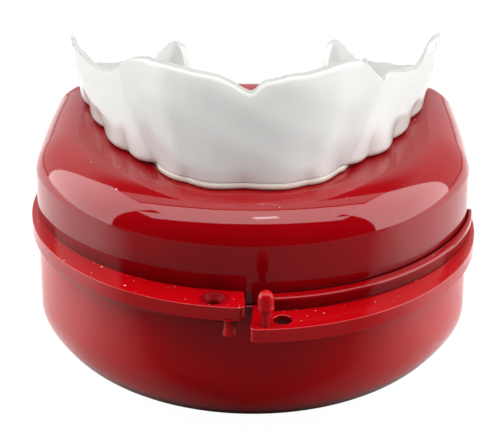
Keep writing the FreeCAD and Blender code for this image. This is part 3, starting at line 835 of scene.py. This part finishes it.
# The second colour of each guard material is the painted shade of walls turned away from the front.
MILKY = guard_material("eva_milky", (0.95, 0.945, 0.925), (0.41, 0.42, 0.4), gloss=0.1)
WHITE = guard_material("eva_white", (0.87, 0.87, 0.85), (0.4, 0.41, 0.39), gloss=0.09)
CREAM = guard_material("eva_cream", (0.8, 0.71, 0.63), (0.36, 0.31, 0.27), gloss=0.3)
STEEL = steel_material()


def place(thing, body, slot, material, *nodes):
    """Dress a piece, tie it to its body and hide the CAD nodes it stands for; slot is not used."""
    thing.data.materials.clear()
    thing.data.materials.append(material)
    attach(thing, body)
    if nodes:
        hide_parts(*nodes)


# ---------------------------------------------------------------- case

place(make_base(), "case_base", "case_plastic", SATIN, "base_shell")
place(make_lid(), "case_lid", "case_plastic", POLISHED, "lid_shell")

for side, half in HALVES:
    node, body, eye = half + "_thumb_flange", "case_" + half, mount_mm(half + "_eyelet")
    low, high = box_mm(node)
    centre_y, radius = flange_circle(node)
    near, hole = min(abs(low[0]), abs(high[0])), EYELET_RADIUS[half]
    plan = crescent(side, centre_y, radius, near, high[1], FLANGE_CORNER)
    piece = plate(node + "_plate", plan, [(*eye, hole)], low[2], high[2], FLANGE_EDGE)
    place(piece, body, "case_plastic", FLANGE, node)
    if half == "lid":
        dish = countersink("lid_eyelet_dish", eye, high[2], DISH_BORE, hole - 0.15)
        place(dish, body, "case_plastic", DISH)

for side, half in HALVES:
    node = half + "_rim"
    low, high = box_mm(node)
    foot, crest = (low[2] - RIM_SUNK, high[2]) if half == "base" else (low[2], high[2] + RIM_SUNK)
    piece = plate(node + "_bead", rim_plan(side), [], foot, crest, RIM_EDGE)
    place(piece, "case_" + half, "case_plastic", RIM, node)


def make_base_stud():
    """Stem with a domed head whose lower edge is a little ragged."""
    low, high = box_mm("base_snap_stud")
    x, y = (low[0] + high[0]) / 2, (low[1] + high[1]) / 2
    foot, top, r = low[2], high[2], (high[0] - low[0]) / 2
    profile = [(0.12, foot - 0.4), (0.84, foot - 0.4), (0.84, foot + 0.1), (0.82, foot + 0.6),
               (0.85, foot + 1.9), (0.9, foot + 3.0), (0.92, foot + 3.28), (r * 0.9, foot + 3.3),
               (r * 0.99, foot + 3.34), (r * 0.995, foot + 3.5), (r * 0.96, foot + 3.65),
               (r * 0.965, foot + 4.2), (r * 0.96, foot + 4.8), (r * 0.95, foot + 5.2)]
    for a in np.linspace(0.1, math.pi / 2 - 0.08, 9):
        profile.append((r * 0.95 * math.cos(a), foot + 5.2 + (top - foot - 5.22) * math.sin(a)))
    return turned("base_stud", profile, (x, y), 44, 0.07, 3.1)


def make_lid_stud():
    """Short post under the lid's flange, flared and cut off roughly."""
    low, high = box_mm("lid_snap_stud")
    x, y = (low[0] + high[0]) / 2, (low[1] + high[1]) / 2
    top, foot = high[2], low[2]
    profile = [(0.1, top + 0.35), (1.5, top + 0.35), (1.35, top - 0.05), (1.08, top - 0.25),
               (1.0, top - 0.6), (1.02, top - 1.3), (1.1, top - 2.0), (1.2, top - 2.6),
               (1.26, top - 2.85), (1.22, foot + 0.05), (1.0, foot + 0.03), (0.6, foot + 0.18),
               (0.15, foot + 0.12)]
    return turned("lid_stud", profile, (x, y), 40, 0.12, 8.7)


place(make_base_stud(), "case_base", "case_plastic", SMALL, "base_snap_stud")
place(make_lid_stud(), "case_lid", "case_plastic", SMALL, "lid_snap_stud")


# Turns a shape made about a vertical line so that it lies along the hinge.
UPRIGHT_TO_HINGE = Matrix(((0, 0, 1, 0), (1, 0, 0, 0), (0, 1, 0, 0), (0, 0, 0, 1)))
PIN_BORE = 1.0


def make_ear(node, up):
    """Hinge knuckle on a leg from the back wall, up for 1 or down for -1, with a bore for the pin."""
    low, high = box_mm(node)
    radius = high[1] - HINGE_Y
    wall_y = low[1] - HINGE_Y - 0.6
    far = high[2] - HINGE_Z if up > 0 else HINGE_Z - low[2]
    leg = far - (far - radius) * 0.15
    outline = arc(0, 0, radius, -180, 0, 26) + arc(0, 0, radius, 0, 88, 14)
    outline += [(-0.35, radius + 0.1), (wall_y, leg), (wall_y, 0.02)]
    outline = [(y, up * z) for y, z in outline][::up]
    half_width = (high[0] - low[0]) / 2
    piece = plate(node + "_ear", outline, [(0.0, 0.0, PIN_BORE)], -half_width, half_width, 0.2)
    centre = Matrix.Translation(Vector(((low[0] + high[0]) / 2, HINGE_Y, HINGE_Z)) * MM)
    piece.data.transform(centre @ UPRIGHT_TO_HINGE)
    return piece


def make_pin(node):
    """Straight hinge pin with chamfered ends."""
    low, high = box_mm(node)
    r, length = (high[2] - low[2]) / 2, high[0] - low[0]
    profile = [(0.05, 0.0), (r * 0.55, 0.0), (r * 0.82, 0.06), (r * 0.985, 0.3), (r * 0.99, 0.7)]
    profile += [(r * 0.99, length * t) for t in (0.25, 0.5, 0.75)]
    profile += [(r * 0.99, length - 0.7), (r * 0.985, length - 0.3), (r * 0.82, length - 0.06),
                (r * 0.55, length), (0.05, length)]
    piece = turned(node + "_wire", profile, (0, 0), 32)
    piece.data.transform(Matrix.Translation(Vector((low[0], HINGE_Y, HINGE_Z)) * MM) @ UPRIGHT_TO_HINGE)
    return piece


for hand in ("left", "right"):
    for part in ("outer", "inner"):
        node = "base_ear_%s_%s" % (hand, part)
        place(make_ear(node, -1), "case_base", "case_plastic", SMALL, node)
    node = "lid_knuckle_" + hand
    place(make_ear(node, 1), "case_lid", "case_plastic", SMALL, node)
    node = "hinge_pin_" + hand
    place(make_pin(node), "case_base", "pin_steel", STEEL, node)

# ---------------------------------------------------------------- mouthguard

tray = sweep("guard_tray", 460, tray_section, 0.3)
place(tray, "mouthguard", "guard_clear", MILKY, "mouthguard_tray")
place(make_panel(), "mouthguard", "guard_white", WHITE, "mouthguard_front_panel")
pad = sweep("guard_pad", 300, pad_section, 0.35)
place(pad, "mouthguard", "guard_bite_pad", CREAM, "mouthguard_bite_pad")

# ---------------------------------------------------------------- studio


def make_floor():
    """Pale floor, white to the camera; darker in front to other rays, with painted shadow by the case."""
    size, steps = 3.0, 24
    verts = [(x, y, 0.0) for y in np.linspace(-size, size, steps) for x in np.linspace(-size, size, steps)]
    faces = [(j * steps + i, j * steps + i + 1, (j + 1) * steps + i + 1, (j + 1) * steps + i)
             for j in range(steps - 1) for i in range(steps - 1)]
    mesh = bpy.data.meshes.new("studio_floor")
    mesh.from_pydata(verts, [], faces)
    floor = bpy.data.objects.new("studio_floor", mesh)
    bpy.context.collection.objects.link(floor)
    n = Nodes("floor_pale")
    s = n.shader.inputs
    parts = n.add("ShaderNodeSeparateXYZ")
    n.link(n.place, parts.inputs[0])
    aside = n.math("MULTIPLY", n.math("ABSOLUTE", parts.outputs["X"]), 0.32)
    ahead = n.math("MULTIPLY", n.math("ADD", parts.outputs["Y"], aside), -1.0)
    pale = n.mix(n.span(n.noise(6.0, 3.0), 0.3, 0.7), (0.8, 0.8, 0.8), (0.83, 0.83, 0.83))
    reach = n.add("ShaderNodeVectorMath", operation="LENGTH")
    n.link(n.place, reach.inputs[0])
    # Painted shadow: close to the case the floor is near black to glossy rays, so it shows shaded in
    # reflections.
    shade = n.mix(n.span(reach.outputs["Value"], 0.05, 0.094), (0.02, 0.02, 0.02), (0.1, 0.1, 0.103))
    path = n.add("ShaderNodeLightPath")
    front = n.mix(path.outputs["Is Glossy Ray"], (0.24, 0.24, 0.24), shade)
    n.link(n.mix(n.span(ahead, -0.005, 0.035), pale, front), s["Base Color"])
    s["Roughness"].default_value = 0.9
    glow = n.add("ShaderNodeEmission")
    glow.inputs["Color"].default_value = (1, 1, 1, 1)
    glow.inputs["Strength"].default_value = 1.04
    blend = n.add("ShaderNodeMixShader")
    n.link(n.math("MULTIPLY", path.outputs["Is Camera Ray"], 0.95), blend.inputs[0])
    n.link(n.shader.outputs[0], blend.inputs[1])
    n.link(glow.outputs[0], blend.inputs[2])
    n.link(blend.outputs[0], n.tree.nodes["Material Output"].inputs["Surface"])
    mesh.materials.append(n.material)


def softbox(name, centre, toward, width, height, strength):
    """Rectangular soft light that shows in reflections but not to the camera."""
    data = bpy.data.lights.new(name, "AREA")
    data.shape, data.size, data.size_y = "RECTANGLE", width, height
    data.energy = strength * width * height * math.pi
    light = bpy.data.objects.new(name, data)
    bpy.context.collection.objects.link(light)
    light.location = centre
    aim = Vector(toward) - Vector(centre)
    light.rotation_euler = aim.to_track_quat("-Z", "Y").to_euler()
    light.visible_camera = False


def make_world():
    """White to the eye; to everything else dark in front and dim behind, so the boxes do the lighting."""
    world = bpy.data.worlds.new("studio")
    bpy.context.scene.world = world
    world.use_nodes = True
    tree = world.node_tree
    dim = tree.nodes["Background"]
    dim.inputs["Color"].default_value = (1, 1, 1, 1)
    seen = tree.nodes.new("ShaderNodeBackground")
    seen.inputs["Strength"].default_value = 1.0
    seen.inputs["Color"].default_value = (1, 1, 1, 1)
    where, parts = tree.nodes.new("ShaderNodeTexCoord"), tree.nodes.new("ShaderNodeSeparateXYZ")
    fade = tree.nodes.new("ShaderNodeMapRange")
    high, across = tree.nodes.new("ShaderNodeMapRange"), tree.nodes.new("ShaderNodeMapRange")
    high.interpolation_type = "SMOOTHSTEP"
    for node, axis, values in ((fade, "Y", (-0.1, 0.3, 0.01, 1.0)), (high, "Z", (0.6, 0.8, 1.0, 0.1)),
                               (across, "X", (-0.5, 0.5, 0.98, 0.75))):
        for key, value in zip(("From Min", "From Max", "To Min", "To Max"), values):
            node.inputs[key].default_value = value
        tree.links.new(parts.outputs[axis], node.inputs["Value"])
    tree.links.new(where.outputs["Generated"], parts.inputs[0])
    level = fade.outputs["Result"]
    for node in (high, across):
        product = tree.nodes.new("ShaderNodeMath")
        product.operation = "MULTIPLY"
        tree.links.new(level, product.inputs[0])
        tree.links.new(node.outputs["Result"], product.inputs[1])
        level = product.outputs[0]
    tree.links.new(level, dim.inputs["Strength"])
    path, blend = tree.nodes.new("ShaderNodeLightPath"), tree.nodes.new("ShaderNodeMixShader")
    tree.links.new(path.outputs["Is Camera Ray"], blend.inputs[0])
    tree.links.new(dim.outputs[0], blend.inputs[1])
    tree.links.new(seen.outputs[0], blend.inputs[2])
    tree.links.new(blend.outputs[0], tree.nodes["World Output"].inputs["Surface"])


# Name, centre, the point it faces, width, height and strength of each softbox, in metres.
SOFTBOXES = (
    ("overhead_front", (0, -0.31, 0.9), (0, -0.31, 0), 1.24, 0.6, 3.8),
    ("wing_left", (-0.785, -0.475, 0.9), (-0.785, -0.475, 0), 0.33, 0.27, 3.8),
    ("wing_right", (0.72, -0.52, 0.9), (0.72, -0.52, 0), 0.2, 0.18, 3.8),
    ("overhead_rear", (0, 0.16, 0.9), (0, 0.16, 0), 1.22, 0.26, 1.5),
    ("left", (-0.62, 0.09, 0.45), (0, 0.09, 0.45), 0.62, 0.89, 3.4),
    ("right", (0.62, -0.03, 0.45), (0, -0.03, 0.45), 0.6, 0.89, 4.1),
    ("spark", (0.066, -0.275, 0.8), (0, 0, 0), 0.12, 0.075, 8.5),
)

make_floor()
make_world()
for box in SOFTBOXES:
    softbox(*box)

scene = bpy.context.scene
scene.view_settings.view_transform = "Standard"
scene.view_settings.look = "None"
